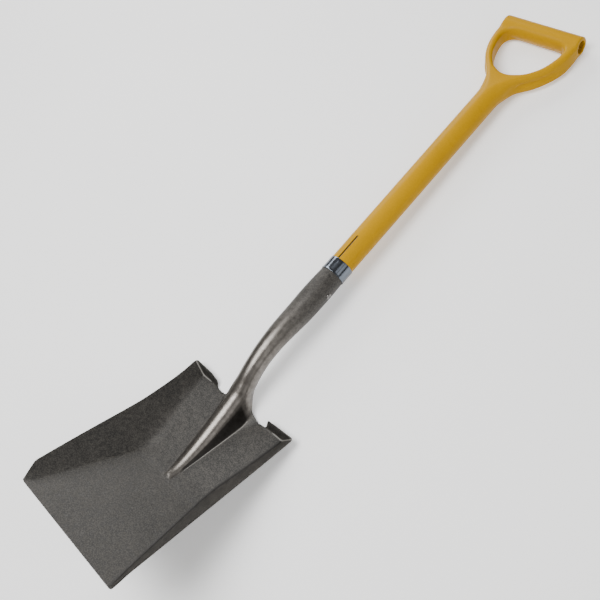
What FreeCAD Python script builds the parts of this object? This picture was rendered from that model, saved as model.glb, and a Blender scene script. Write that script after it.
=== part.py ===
"""Square-mouth shovel with a D-grip, built as six separate pieces.

The pieces are modelled in the shaft's frame: +Y runs up the shaft to the grip, +Z is the front,
which is the side that the blade's hollow faces, and the origin is on the shaft's axis at the
ferrule's lower edge. The blade's pan has a frame of its own, at the middle of its heel, tipped by
the lift. At the end the whole shovel is laid on its back, where it rests on the pan's heel and the
grip's crossbar, with the origin under the middle of its box.
"""
import FreeCAD, Part
import math
import os
import Sketcher

doc = FreeCAD.newDocument("garden_spade")

# ---------------------------------------------------------------- driving dimensions (mm, degrees)

SIZES = [
    ("blade_length", 300.0, "pan: cutting edge to heel, straight across the hollow"),
    ("mouth_half_width", 106.0, "pan: half the width of the cutting edge"),
    ("heel_half_width", 91.5, "pan: half the width inside at the heel, at the floor's ends"),
    ("floor_depth", 38.0, "pan: how deep the floor's bend lies under the line from edge to heel"),
    ("bend_station", 135.0, "pan: heel to the bend of the floor"),
    ("bend_radius", 110.0, "pan: radius of the floor's bend"),
    ("wall_flare", 42.0, "pan: how far the side walls lean out"),
    ("wall_rise_front", 12.5, "pan: top of the side wall behind its front corner"),
    ("wall_rise_middle", 8.5, "pan: top of the side wall a third of the way from the heel"),
    ("wall_rise_heel", 18.0, "pan: top of the side wall and of the foot step at the heel"),
    ("front_corner_run", 27.0, "pan: how far back the wall's front corner is cut"),
    ("step_inner_half", 58.0, "pan: middle of the heel to the inner end of a foot step"),
    ("sheet_thickness", 2.0, "blade: the steel sheet"),
    ("lift_angle", 24.9, "blade: how far the pan is tipped from the shaft"),
    ("heel_station", 232.4, "blade: ferrule's lower edge down to the heel"),
    ("heel_drop", 46.2, "blade: shaft's axis back to the heel's floor"),
    ("frog_length", 140.0, "frog: heel to the tip of the ridge"),
    ("frog_height", 46.0, "frog: height of the ridge over the floor at the heel"),
    ("frog_foot_half", 31.0, "frog: half the ridge's width on the floor at the heel"),
    ("socket_cover", 8.0, "socket: how far its end reaches up inside the ferrule"),
    ("belly_station", 40.0, "socket: ferrule's lower edge down to its fullest section"),
    ("belly_swell", 1.05, "socket: how much fuller it is there than at its upper end"),
    ("grip_station", 78.0, "socket: down to where it stops holding the core"),
    ("throat_station", 118.0, "socket: down to where the crank starts"),
    ("throat_rise", 3.0, "socket: its middle stands forward of the shaft's axis there"),
    ("throat_radius", 17.6, "socket: outer radius there"),
    ("neck_station", 185.0, "socket: down to its thinnest section"),
    ("neck_drop", 6.7, "socket: its middle lies behind the shaft's axis there"),
    ("neck_radius", 15.5, "socket: outer radius there"),
    ("shoulder_station", 216.0, "socket: down to where it spreads into the pan"),
    ("shoulder_drop", 20.6, "socket: its middle lies behind the shaft's axis there"),
    ("shoulder_radius", 17.0, "socket: outer radius there"),
    ("seam_width", 1.6, "socket: gap of the seam along the back"),
    ("sleeve_diameter", 38.1, "handle: outside of the sleeve"),
    ("slit_width", 2.6, "handle: slit in the sleeve's front at the ferrule"),
    ("slit_end", 68.6, "handle: ferrule's lower edge up to the end of the slit"),
    ("crossbar_station", 531.3, "grip: ferrule's lower edge up to the crossbar's axis"),
    ("crossbar_half_length", 70.0, "grip: half the crossbar's length"),
    ("crossbar_diameter", 31.7, "grip: outside of the crossbar"),
    ("crossbar_bore", 20.0, "grip: hole through the crossbar"),
    ("yoke_drop", 146.0, "grip: crossbar's axis down to where the shaft starts to spread"),
    ("arm_width", 13.0, "grip: width of an arm, seen from the front"),
    ("arm_depth", 23.0, "grip: depth of an arm, front to back"),
    ("core_wall", 3.4, "core: wall of the fibreglass tube"),
    ("core_top_margin", 12.0, "core: how far its end stops under the spread of the yoke"),
    ("dowel_length", 105.0, "dowel: length of the plug in the core's lower end"),
    ("ferrule_length", 23.0, "ferrule: length"),
    ("ferrule_wall", 0.8, "ferrule: wall"),
    ("rivet_station", 30.0, "rivet: ferrule's lower edge down to its axis"),
    ("rivet_diameter", 5.0, "rivet: shank"),
    ("rivet_head_diameter", 9.5, "rivet: head"),
    ("rivet_head_height", 1.8, "rivet: head above the socket"),
    ("rivet_dimple_diameter", 4.2, "rivet: dimple in the middle of the head"),
    ("fit_clearance", 0.15, "gap between pieces that fit into each other"),
]

dim = doc.addObject("Spreadsheet::Sheet", "dim")
for row, (alias, value, meaning) in enumerate(SIZES, start=1):
    dim.set(f"A{row}", meaning)
    dim.set(f"B{row}", str(value))
    dim.setAlias(f"B{row}", alias)
doc.recompute()

# ---------------------------------------------------------------- small helpers

ALONG_X = FreeCAD.Rotation(FreeCAD.Vector(0, 1, 0), 90)
ALONG_Y = FreeCAD.Rotation(FreeCAD.Vector(1, 0, 0), -90)
SIDE_VIEW = FreeCAD.Rotation(FreeCAD.Vector(1, 1, 1), 120)
FRONT_VIEW = FreeCAD.Rotation()
OVERRUN = "40"
CUT_PAST = "5"

# the sleeve's wall is as thick as the socket's sheet: both close on the core, and they lie flush
# under the ferrule
SLEEVE_RADIUS = "(dim.sleeve_diameter / 2)"
BELLY_RADIUS = f"({SLEEVE_RADIUS} + dim.belly_swell)"
CORE_RADIUS = f"({SLEEVE_RADIUS} - dim.sheet_thickness - dim.fit_clearance)"
FERRULE_BORE = f"({SLEEVE_RADIUS} + dim.fit_clearance)"


def make(kind, name, **sizes):
    """An object of the document, with each of its sizes bound to an expression."""
    piece = doc.addObject(kind, name)
    for prop, text in sizes.items():
        piece.setExpression(prop, text)
    return piece


def place(piece, rotation, x="0", y="0", z="0"):
    """Turn an object and bind its position."""
    piece.Placement = FreeCAD.Placement(FreeCAD.Vector(), rotation)
    piece.setExpression("Placement.Base.x", x)
    piece.setExpression("Placement.Base.y", y)
    piece.setExpression("Placement.Base.z", z)
    return piece


def boolean(kind, name, base, tool):
    """Part::Cut, Part::Common or Part::Fuse of two objects."""
    result = doc.addObject(kind, name)
    result.Base = base
    result.Tool = tool
    result.Refine = False
    return result


def fuse(name, *pieces):
    """One solid out of several that meet."""
    result = doc.addObject("Part::MultiFuse", name)
    result.Shapes = list(pieces)
    return result


def outline(name, rotation, corners):
    """A closed sketch whose corners and radii are bound to expressions.

    A corner is (across, up) where a straight edge leaves it, or (across, up, radius) where an arc
    does: with a plain radius the arc turns left, and with a minus sign in front it turns right.
    """
    sketch = doc.addObject("Sketcher::SketchObject", name)
    sketch.Placement = FreeCAD.Placement(FreeCAD.Vector(), rotation)
    spots = []
    for corner in corners:
        across = float(sketch.evalExpression(corner[0]))
        up = float(sketch.evalExpression(corner[1]))
        spots.append(FreeCAD.Vector(across, up, 0))
    ends = []
    for number, corner in enumerate(corners):
        start = spots[number]
        finish = spots[(number + 1) % len(spots)]
        if len(corner) == 2:
            edge = sketch.addGeometry(Part.LineSegment(start, finish))
            ends.append((edge, 1, 2))
            continue
        text = corner[2]
        turns_right = text.startswith("-")
        text = text.lstrip("-")
        radius = float(sketch.evalExpression(text))
        chord = finish - start
        rise = math.sqrt(radius ** 2 - chord.Length ** 2 / 4)
        left = FreeCAD.Vector(-chord.y, chord.x, 0) / chord.Length
        centre = (start + finish) / 2 + left * (-rise if turns_right else rise)
        first, last = (finish, start) if turns_right else (start, finish)
        circle = Part.Circle(centre, FreeCAD.Vector(0, 0, 1), radius)
        angle_first = math.atan2(first.y - centre.y, first.x - centre.x)
        angle_last = math.atan2(last.y - centre.y, last.x - centre.x)
        edge = sketch.addGeometry(Part.ArcOfCircle(circle, angle_first, angle_last))
        ends.append((edge, 2, 1) if turns_right else (edge, 1, 2))
        bound = sketch.addConstraint(Sketcher.Constraint("Radius", edge, radius))
        sketch.setExpression(f"Constraints[{bound}]", text)
    for number, (edge, start, finish) in enumerate(ends):
        following, following_start, _ = ends[(number + 1) % len(ends)]
        joint = Sketcher.Constraint("Coincident", edge, finish, following, following_start)
        sketch.addConstraint(joint)
        spot = spots[number]
        for axis, amount, text in (("DistanceX", spot.x, corners[number][0]),
                                   ("DistanceY", spot.y, corners[number][1])):
            bound = sketch.addConstraint(Sketcher.Constraint(axis, -1, 1, edge, start, amount))
            sketch.setExpression(f"Constraints[{bound}]", text)
    return sketch


def extrude(name, sketch, length):
    """A sketch thickened to both sides of its plane."""
    solid = doc.addObject("Part::Extrusion", name)
    solid.Base = sketch
    solid.DirMode = "Normal"
    solid.Solid = True
    solid.Symmetric = True
    solid.setExpression("LengthFwd", length)
    return solid


def loft(name, sections, ruled=False):
    """A solid through closed sections, smooth or straight from each section to the next."""
    solid = doc.addObject("Part::Loft", name)
    solid.Sections = sections
    solid.Solid = True
    solid.Ruled = ruled
    return solid


def shaft_rod(name, radius, start, finish):
    """A rod along the shaft's axis."""
    rod = make("Part::Cylinder", name, Radius=radius, Height=f"{finish} - ({start})")
    return place(rod, ALONG_Y, y=start)


def cross_rod(name, radius, half_length, station):
    """A rod along X, across the shaft's axis."""
    rod = make("Part::Cylinder", name, Radius=radius, Height=f"2 * ({half_length})")
    return place(rod, ALONG_X, x=f"-({half_length})", y=station)


def rivet_hole(name):
    """The hole for the rivet's shank."""
    return cross_rod(name, "dim.rivet_diameter / 2 + dim.fit_clearance", f"2 * {BELLY_RADIUS}",
                     "-dim.rivet_station")


# ---------------------------------------------------------------- blade: the pan, in its own frame

PAN_PLACE = ("create(<<placement>>; create(<<vector>>; 0; -dim.heel_station; -dim.heel_drop);"
             " create(<<rotation>>; create(<<vector>>; 1; 0; 0); -dim.lift_angle))")
HEEL_SLOPE = "dim.floor_depth / dim.bend_station"
MOUTH_SLOPE = "dim.floor_depth / (dim.blade_length - dim.bend_station)"
HEEL_TILT = f"atan({HEEL_SLOPE})"
MOUTH_TILT = f"atan({MOUTH_SLOPE})"
BEND_TANGENT = f"dim.bend_radius * tan(({HEEL_TILT} + {MOUTH_TILT}) / 2)"


def floor_line(drop, mouth_overrun, heel_overrun):
    """The floor seen from the side, from the mouth to the heel, lowered by drop."""
    mouth_y = f"-dim.blade_length - {mouth_overrun}"
    return [
        (mouth_y, f"{mouth_overrun} * {MOUTH_SLOPE} - {drop}"),
        (f"-dim.bend_station - {BEND_TANGENT} * cos({MOUTH_TILT})",
         f"-dim.floor_depth + {BEND_TANGENT} * sin({MOUTH_TILT}) - {drop}", "dim.bend_radius"),
        (f"-dim.bend_station + {BEND_TANGENT} * cos({HEEL_TILT})",
         f"-dim.floor_depth + {BEND_TANGENT} * sin({HEEL_TILT}) - {drop}"),
        (heel_overrun, f"{heel_overrun} * {HEEL_SLOPE} - {drop}"),
    ]


def flared_space(name, swell):
    """The room between the two side walls, from beyond the mouth to beyond the heel."""
    ends = []
    for end, station, half in (("heel", f"{OVERRUN}", "dim.heel_half_width"),
                               ("mouth", f"-dim.blade_length - {OVERRUN}",
                                "dim.mouth_half_width")):
        taper = "(dim.mouth_half_width - dim.heel_half_width) / dim.blade_length"
        sign = "-" if end == "heel" else "+"
        half_here = f"{half} {sign} {OVERRUN} * {taper} + {swell}"
        wide = f"({half_here} + {OVERRUN} * tan(dim.wall_flare))"
        narrow = f"({half_here} - 2 * {OVERRUN} * tan(dim.wall_flare))"
        section = outline(f"{name}_{end}", FreeCAD.Rotation(FreeCAD.Vector(1, 0, 0), 90), [
            (f"-{wide}", OVERRUN),
            (f"-{narrow}", f"-2 * {OVERRUN}"),
            (narrow, f"-2 * {OVERRUN}"),
            (wide, OVERRUN),
        ])
        section.setExpression("Placement.Base.y", station)
        ends.append(section)
    return loft(name, ends)


outer_side = outline("pan_outer_side", SIDE_VIEW, floor_line(
    "dim.sheet_thickness", "0", "dim.sheet_thickness") + [
    ("dim.sheet_thickness", "dim.wall_rise_heel"),
    ("0", "dim.wall_rise_heel"),
    ("-dim.blade_length / 3", "dim.wall_rise_middle"),
    ("-dim.blade_length + dim.front_corner_run", "dim.wall_rise_front"),
])
pan_outer = boolean("Part::Common", "pan_outer",
                    extrude("pan_outer_block", outer_side, "dim.blade_length * 2"),
                    flared_space("pan_outer_flare",
                                 "dim.sheet_thickness / cos(dim.wall_flare)"))
inner_side = outline("pan_inner_side", SIDE_VIEW, floor_line("0", OVERRUN, "0") + [
    ("0", OVERRUN),
    (f"-dim.blade_length - {OVERRUN}", OVERRUN),
])
pan_inner = boolean("Part::Common", "pan_inner",
                    extrude("pan_inner_block", inner_side, "dim.blade_length * 2"),
                    flared_space("pan_inner_flare", "0"))
tray = boolean("Part::Cut", "pan_tray", pan_outer, pan_inner)

# the foot steps stop short of the socket, so the heel is bare between them
step_gap = make("Part::Box", "step_gap", Length="2 * dim.step_inner_half", Width=OVERRUN,
                Height=f"2 * {OVERRUN}")
place(step_gap, FreeCAD.Rotation(), x="-dim.step_inner_half", z=f"-{OVERRUN}")
pan = boolean("Part::Cut", "pan", tray, step_gap)
pan.setExpression("Placement", PAN_PLACE)

# ---------------------------------------------------------------- blade: socket, crank and frog


def shaft_section(name, station, rise, radius):
    """A round section square to the shaft."""
    section = make("Part::Circle", name, Radius=radius)
    return place(section, ALONG_Y, y=f"-({station})", z=rise)


def frog_section(name, left, shrink):
    """A round section square to the pan, which stands up through the floor as the frog's ridge.

    The ridge tapers evenly to nothing at the tip. Where a given share of it is left, the circle
    goes through the top of the ridge and both of its feet.
    """
    height = f"(dim.frog_height * {left})"
    radius = f"({FROG_RADIUS} * {left})"
    along = f"(-dim.frog_length * (1 - {left}))"
    middle = f"({along} * {HEEL_SLOPE} + {height} - {radius})"
    section = make("Part::Circle", name, Radius=f"{radius} - {shrink}")
    section.setExpression("Placement", (
        "create(<<placement>>; create(<<vector>>; 0;"
        f" -dim.heel_station + {along} * cos(dim.lift_angle) + {middle} * sin(dim.lift_angle);"
        f" -dim.heel_drop - {along} * sin(dim.lift_angle) + {middle} * cos(dim.lift_angle));"
        " create(<<rotation>>; create(<<vector>>; 1; 0; 0); -90 - dim.lift_angle))"))
    return section


# the frog's last section is just too wide for the sheet to close in on itself
FROG_RADIUS = "((dim.frog_foot_half ^ 2 + dim.frog_height ^ 2) / (2 * dim.frog_height))"
FROG_TIP_LEFT = f"(1.17 * dim.sheet_thickness / {FROG_RADIUS})"


def stem(name, shrink):
    """The frog, the crank, the socket's barrel and its straight end, as four solids that meet."""
    shoulder = shaft_section(f"{name}_shoulder", "dim.shoulder_station", "-dim.shoulder_drop",
                             f"dim.shoulder_radius - {shrink}")
    grip = shaft_section(f"{name}_grip", "dim.grip_station", "0",
                         f"{SLEEVE_RADIUS} + dim.fit_clearance - {shrink}")
    crank = [
        grip,
        shaft_section(f"{name}_throat", "dim.throat_station", "dim.throat_rise",
                      f"dim.throat_radius - {shrink}"),
        shaft_section(f"{name}_neck", "dim.neck_station", "-dim.neck_drop",
                      f"dim.neck_radius - {shrink}"),
        shoulder,
    ]
    barrel = [
        shaft_section(f"{name}_end", "0", "0", f"{SLEEVE_RADIUS} - {shrink}"),
        shaft_section(f"{name}_belly", "dim.belly_station", "0", f"{BELLY_RADIUS} - {shrink}"),
        grip,
    ]
    frog = [
        shoulder,
        frog_section(f"{name}_frog_heel", "0.95", shrink),
        frog_section(f"{name}_frog_tip", FROG_TIP_LEFT, shrink),
    ]
    return (loft(f"{name}_frog", frog, ruled=True), loft(f"{name}_crank", crank),
            loft(f"{name}_barrel", barrel),
            shaft_rod(f"{name}_collar", f"{SLEEVE_RADIUS} - {shrink}", "0", "dim.socket_cover"))


frog_outside, *socket_outside = stem("outside", "0")
hollows = stem("inside", "dim.sheet_thickness")

# nothing of the frog stays behind the floor's plane: it is a pressed ridge, open at the back
behind_outline = outline("behind_outline", SIDE_VIEW, floor_line(
    "dim.sheet_thickness / 2", OVERRUN, OVERRUN) + [
    (OVERRUN, f"-4 * {OVERRUN}"),
    (f"-dim.blade_length - {OVERRUN}", f"-4 * {OVERRUN}"),
])
behind_floor = extrude("behind_floor", behind_outline, "dim.blade_length * 2")
behind_floor.setExpression("Placement", PAN_PLACE)
ridge = boolean("Part::Cut", "ridge", frog_outside, behind_floor)

# the seam of the rolled socket runs down its back and opens out into the frog's hollow
seam_plan = outline("seam_plan", FRONT_VIEW, [
    ("-dim.seam_width / 2", f"dim.socket_cover + {OVERRUN}"),
    ("-dim.seam_width / 2", "-dim.grip_station"),
    ("-dim.neck_radius * 0.8", "-dim.neck_station"),
    ("-dim.neck_radius * 1.1", "-dim.heel_station"),
    ("dim.neck_radius * 1.1", "-dim.heel_station"),
    ("dim.neck_radius * 0.8", "-dim.neck_station"),
    ("dim.seam_width / 2", "-dim.grip_station"),
    ("dim.seam_width / 2", f"dim.socket_cover + {OVERRUN}"),
])
seam_side = outline("seam_side", SIDE_VIEW, [
    (f"dim.socket_cover + {OVERRUN}", f"-4 * {OVERRUN}"),
    (f"dim.socket_cover + {OVERRUN}", "-dim.neck_radius / 2"),
    ("-dim.throat_station", "-dim.neck_radius / 2"),
    ("-dim.neck_station", "-dim.neck_drop - dim.neck_radius / 2"),
    ("-dim.heel_station", "-dim.shoulder_drop - dim.shoulder_radius / 2"),
    ("-dim.heel_station", f"-4 * {OVERRUN}"),
])
seam = boolean("Part::Common", "seam",
               extrude("seam_plan_block", seam_plan, "dim.blade_length * 2"),
               extrude("seam_side_block", seam_side, "dim.blade_length * 2"))

blade_sheet = boolean("Part::Fuse", "pan_with_ridge", pan, ridge)
for length in socket_outside:
    blade_sheet = boolean("Part::Fuse", f"with_{length.Name}", blade_sheet, length)
for hollow in (*hollows, seam):
    blade_sheet = boolean("Part::Cut", f"without_{hollow.Name}", blade_sheet, hollow)
blade = boolean("Part::Cut", "blade", blade_sheet, rivet_hole("socket_hole"))

# ---------------------------------------------------------------- handle: sleeve and D-grip

SLEEVE_START = "(dim.socket_cover + dim.fit_clearance)"
YOKE_STATION = "(dim.crossbar_station - dim.yoke_drop)"
CORE_TOP = f"({YOKE_STATION} - dim.core_top_margin)"

# The arms leave the shaft in a hollow curve, run straight at about 54 degrees and turn up into the
# crossbar in a round one. The opening follows them one arm's width inside. The plain numbers here
# are the corners of these drawn curves, in millimetres from the sizes they are added to.
ARM_FAR = "dim.crossbar_half_length"
ARM_NEAR = "(dim.crossbar_half_length - dim.arm_width)"
YOKE_HALF = f"({SLEEVE_RADIUS} - 0.2)"
arm_outline = outline("arm_outline", FRONT_VIEW, [
    (f"{ARM_FAR} - 2", "dim.crossbar_station"),
    (f"-{ARM_FAR} + 2", "dim.crossbar_station"),
    (f"-{ARM_FAR}", "dim.crossbar_station - 22", "97"),
    (f"-{ARM_FAR} + 16", "dim.crossbar_station - 80"),
    (f"-{YOKE_HALF} - 7", f"{YOKE_STATION} + 28", "-47"),
    (f"-{YOKE_HALF}", YOKE_STATION),
    (YOKE_HALF, YOKE_STATION, "-47"),
    (f"{YOKE_HALF} + 7", f"{YOKE_STATION} + 28"),
    (f"{ARM_FAR} - 16", "dim.crossbar_station - 80", "97"),
    (ARM_FAR, "dim.crossbar_station - 22"),
])
opening_outline = outline("opening_outline", FRONT_VIEW, [
    (f"-{ARM_NEAR}", "dim.crossbar_station"),
    (f"-{ARM_NEAR}", "dim.crossbar_station - 29", "95"),
    (f"-{ARM_NEAR} + 23", "dim.crossbar_station - 84", "42.5"),
    (f"{ARM_NEAR} - 23", "dim.crossbar_station - 84", "95"),
    (ARM_NEAR, "dim.crossbar_station - 29"),
    (ARM_NEAR, "dim.crossbar_station"),
])
arms = boolean("Part::Cut", "arms", extrude("arms_block", arm_outline, "dim.sleeve_diameter"),
               extrude("opening_block", opening_outline, "dim.sleeve_diameter * 2"))
# seen from the side the yoke thins from the shaft's full depth to the arms' depth
depth_outline = outline("depth_outline", SIDE_VIEW, [
    (f"{YOKE_STATION} - 1", f"-{YOKE_HALF}"),
    (f"{YOKE_STATION} - 1", YOKE_HALF),
    (f"{YOKE_STATION} + 12", YOKE_HALF),
    (f"{YOKE_STATION} + 62", "dim.arm_depth / 2"),
    (f"dim.crossbar_station + {OVERRUN}", "dim.arm_depth / 2"),
    (f"dim.crossbar_station + {OVERRUN}", "-dim.arm_depth / 2"),
    (f"{YOKE_STATION} + 62", "-dim.arm_depth / 2"),
    (f"{YOKE_STATION} + 12", f"-{YOKE_HALF}"),
])
grip_frame = boolean("Part::Common", "grip_frame", arms,
                     extrude("depth_block", depth_outline, "dim.crossbar_station"))
grip_solid = fuse("grip_solid", grip_frame,
                  cross_rod("crossbar", "dim.crossbar_diameter / 2", "dim.crossbar_half_length",
                            "dim.crossbar_station"),
                  shaft_rod("sleeve", SLEEVE_RADIUS, SLEEVE_START,
                            f"({YOKE_STATION} + 20)"))
slit = make("Part::Box", "slit", Length="dim.slit_width",
            Width=f"dim.slit_end - {SLEEVE_START} + {CUT_PAST}", Height="dim.sleeve_diameter")
place(slit, FreeCAD.Rotation(), x="-dim.slit_width / 2", y=f"{SLEEVE_START} - 5")
grip_hollows = fuse("grip_hollows", slit,
                    shaft_rod("sleeve_bore", f"{CORE_RADIUS} + dim.fit_clearance", "0",
                              f"({CORE_TOP} + dim.fit_clearance)"),
                    cross_rod("crossbar_hole", "dim.crossbar_bore / 2",
                              f"dim.crossbar_half_length + {CUT_PAST}", "dim.crossbar_station"))
d_handle = boolean("Part::Cut", "d_handle", grip_solid, grip_hollows)

# ---------------------------------------------------------------- core, dowel, ferrule and rivet

CORE_START = "-dim.grip_station"
core_hollows = fuse("core_hollows", rivet_hole("core_rivet_hole"),
                    shaft_rod("core_bore", f"{CORE_RADIUS} - dim.core_wall", f"{CORE_START} - 5",
                              f"({CORE_TOP} + {CUT_PAST})"))
handle_core = boolean("Part::Cut", "handle_core",
                      shaft_rod("core_full", CORE_RADIUS, CORE_START, CORE_TOP), core_hollows)

dowel_full = shaft_rod("dowel_full", f"{CORE_RADIUS} - dim.core_wall - dim.fit_clearance",
                       CORE_START, f"({CORE_START} + dim.dowel_length)")
core_dowel = boolean("Part::Cut", "core_dowel", dowel_full, rivet_hole("dowel_rivet_hole"))

ferrule = boolean("Part::Cut", "ferrule",
                  shaft_rod("ferrule_full", f"{FERRULE_BORE} + dim.ferrule_wall", "0",
                            "dim.ferrule_length"),
                  shaft_rod("ferrule_bore", FERRULE_BORE, f"-{CUT_PAST}",
                            f"(dim.ferrule_length + {CUT_PAST})"))

# each of the rivet's heads stands on the socket's side and has a dimple in the middle
HEAD_TOP = f"({BELLY_RADIUS} + dim.rivet_head_height)"
rivet_pieces = [cross_rod("rivet_shank", "dim.rivet_diameter / 2", HEAD_TOP,
                          "-dim.rivet_station")]
dimples = []
for side, sign, turn in (("right", "", ALONG_X), ("left", "-", ALONG_X.inverted())):
    head = make("Part::Cone", f"rivet_head_{side}", Radius1="dim.rivet_head_diameter / 2",
                Radius2="dim.rivet_head_diameter / 2 - dim.rivet_head_height / 2",
                Height="dim.rivet_head_height")
    rivet_pieces.append(place(head, turn, x=f"{sign}{BELLY_RADIUS}", y="-dim.rivet_station"))
    dimple = make("Part::Cylinder", f"rivet_dimple_{side}",
                  Radius="dim.rivet_dimple_diameter / 2", Height="dim.rivet_head_height")
    dimples.append(place(dimple, turn, y="-dim.rivet_station",
                         x=f"{sign}({BELLY_RADIUS} + dim.rivet_head_height / 3)"))
socket_rivet = boolean("Part::Cut", "socket_rivet", fuse("rivet_solid", *rivet_pieces),
                       fuse("rivet_dimples", *dimples))

# ---------------------------------------------------------------- check, lay down and write out

doc.recompute()
for piece in doc.Objects:
    if "Invalid" in piece.State or "Error" in piece.State:
        raise RuntimeError(f"{piece.Label} failed: {piece.State}")

PIECES = [blade, d_handle, handle_core, core_dowel, ferrule, socket_rivet]

# on its back the shovel touches the floor with the pan's heel and with the crossbar, so it turns
# until both are equally low
turn_back = math.degrees(math.atan2(
    dim.heel_drop + dim.sheet_thickness - dim.crossbar_diameter / 2,
    dim.crossbar_station + dim.heel_station))
laid = FreeCAD.Placement(FreeCAD.Vector(), FreeCAD.Rotation(FreeCAD.Vector(1, 0, 0), -turn_back))
whole = Part.makeCompound([piece.Shape for piece in PIECES])
whole.Placement = laid
box = whole.optimalBoundingBox()
laid.Base = FreeCAD.Vector(-(box.XMin + box.XMax) / 2, -(box.YMin + box.YMax) / 2, -box.ZMin)
for piece in PIECES:
    piece.Placement = laid
doc.recompute()

os.makedirs("parts", exist_ok=True)
for piece in PIECES:
    piece.Label = piece.Name
    shape = piece.Shape
    if shape.isNull() or not shape.isValid() or len(shape.Solids) != 1:
        raise RuntimeError(f"{piece.Label} is not one valid solid")
    shape.exportStep(f"parts/{piece.Label}.step")
    print(f"{piece.Label}: {shape.Volume / 1000:.1f} cm3")
print(f"turned back {turn_back:.3f} degrees, moved by {tuple(round(v, 3) for v in laid.Base)}")
print(f"size {box.XLength:.1f} x {box.YLength:.1f} x {box.ZLength:.1f}")
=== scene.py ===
"""Looks of the square-mouth shovel with a D grip, built on its CAD frame.

Sizes are in millimetres in the handle's axes unless a line says otherwise: the origin is at the
ferrule's lower edge, +y runs up the handle, +z is the front and +x the right.
"""
import math

import bpy
import numpy as np
from mathutils import Matrix, Vector


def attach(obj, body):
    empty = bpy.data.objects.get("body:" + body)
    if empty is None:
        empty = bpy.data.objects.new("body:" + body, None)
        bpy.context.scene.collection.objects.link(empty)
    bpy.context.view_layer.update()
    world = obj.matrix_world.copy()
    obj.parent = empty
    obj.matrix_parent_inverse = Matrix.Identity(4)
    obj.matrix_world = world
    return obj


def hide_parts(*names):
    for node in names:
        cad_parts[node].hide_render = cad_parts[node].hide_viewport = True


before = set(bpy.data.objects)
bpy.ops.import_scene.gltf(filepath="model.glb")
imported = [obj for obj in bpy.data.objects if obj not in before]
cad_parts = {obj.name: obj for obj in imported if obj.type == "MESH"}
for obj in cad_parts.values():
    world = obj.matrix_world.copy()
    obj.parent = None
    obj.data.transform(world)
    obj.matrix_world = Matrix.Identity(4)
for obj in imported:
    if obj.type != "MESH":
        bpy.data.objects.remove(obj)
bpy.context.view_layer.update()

# ---------------------------------------------------------------------------------------------
# Blade: one pressed steel sheet. It is a square-mouthed pan with flared walls and two turned-up
# steps at the heel, and its middle rises as the frog and rolls up into the open-backed socket.
# It is hardened, lacquered dark, and rubbed smooth where it is rolled.
# ---------------------------------------------------------------------------------------------
HEEL_STATION, HEEL_DROP, LIFT = 232.4, 46.2, math.radians(24.9)
TURNED_BACK, REST_Y, REST_Z = math.radians(2.426), -22.543, 38.518
SHEET = 2.0


def pan_to_handle(points):
    """Points given in the pan's own axes, whose origin is the middle of the heel's edge."""
    x, y, z = np.asarray(points, float).T
    return np.column_stack([
        x,
        y * math.cos(LIFT) + z * math.sin(LIFT) - HEEL_STATION,
        z * math.cos(LIFT) - y * math.sin(LIFT) - HEEL_DROP])


def at_rest(points):
    """The handle's axes in millimetres to the shared frame in metres."""
    x, y, z = np.asarray(points, float).T
    return 0.001 * np.column_stack([
        x,
        y * math.cos(TURNED_BACK) + z * math.sin(TURNED_BACK) + REST_Y,
        z * math.cos(TURNED_BACK) - y * math.sin(TURNED_BACK) + REST_Z])


def finished(name, points, faces, material):
    """A smooth-shaded mesh object whose points are already in the shared frame."""
    mesh = bpy.data.meshes.new(name)
    mesh.from_pydata([tuple(p) for p in points], [], [tuple(f) for f in faces])
    mesh.validate()
    mesh.shade_smooth()
    mesh.materials.append(material)
    piece = bpy.data.objects.new(name, mesh)
    bpy.context.scene.collection.objects.link(piece)
    return piece


def surface(name, metallic, roughness, **more):
    """A new material, its nodes and its shader, with constants on the shader's own sockets."""
    material = bpy.data.materials.new(name)
    material.use_nodes = True
    shader = material.node_tree.nodes["Principled BSDF"]
    for socket, value in {"Metallic": metallic, "Roughness": roughness, **more}.items():
        shader.inputs[socket].default_value = value
    return material, material.node_tree, shader


def grain(tree, scale, detail=2.0, stretch=(1, 1, 1)):
    """Noise in the object's own metres, as a value from 0 to 1."""
    where = tree.nodes.new("ShaderNodeTexCoord")
    mapping = tree.nodes.new("ShaderNodeMapping")
    mapping.inputs["Scale"].default_value = stretch
    noise = tree.nodes.new("ShaderNodeTexNoise")
    noise.inputs["Scale"].default_value = scale
    noise.inputs["Detail"].default_value = detail
    tree.links.new(where.outputs["Object"], mapping.inputs["Vector"])
    tree.links.new(mapping.outputs["Vector"], noise.inputs["Vector"])
    return noise.outputs["Fac"]


def ramp(tree, value, *stops):
    """Colours at positions along a value. A stop is (position, colour or grey level)."""
    made = tree.nodes.new("ShaderNodeValToRGB")
    while len(made.color_ramp.elements) < len(stops):
        made.color_ramp.elements.new(0.5)
    for element, (position, colour) in zip(made.color_ramp.elements, stops):
        element.position = position
        element.color = (*colour, 1) if isinstance(colour, tuple) else (colour,) * 3 + (1,)
    tree.links.new(value, made.inputs["Fac"])
    return made.outputs["Color"]


def blend(tree, share, first, second):
    """Two colours mixed by a share, which is a socket or a number."""
    mix = tree.nodes.new("ShaderNodeMix")
    mix.data_type = "RGBA"
    for socket, value in ((mix.inputs[0], share), (mix.inputs[6], first), (mix.inputs[7], second)):
        if isinstance(value, bpy.types.NodeSocket):
            tree.links.new(value, socket)
        elif isinstance(value, tuple):
            socket.default_value = (*value, 1)
        else:
            socket.default_value = value
    return mix.outputs[2]


def bump(tree, shader, height, strength, distance):
    """Adds a height to whatever already bends the shader's normal."""
    made = tree.nodes.new("ShaderNodeBump")
    made.inputs["Strength"].default_value = strength
    made.inputs["Distance"].default_value = distance
    if shader.inputs["Normal"].links:
        tree.links.new(shader.inputs["Normal"].links[0].from_socket, made.inputs["Normal"])
    tree.links.new(height, made.inputs["Height"])
    tree.links.new(made.outputs["Normal"], shader.inputs["Normal"])


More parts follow.
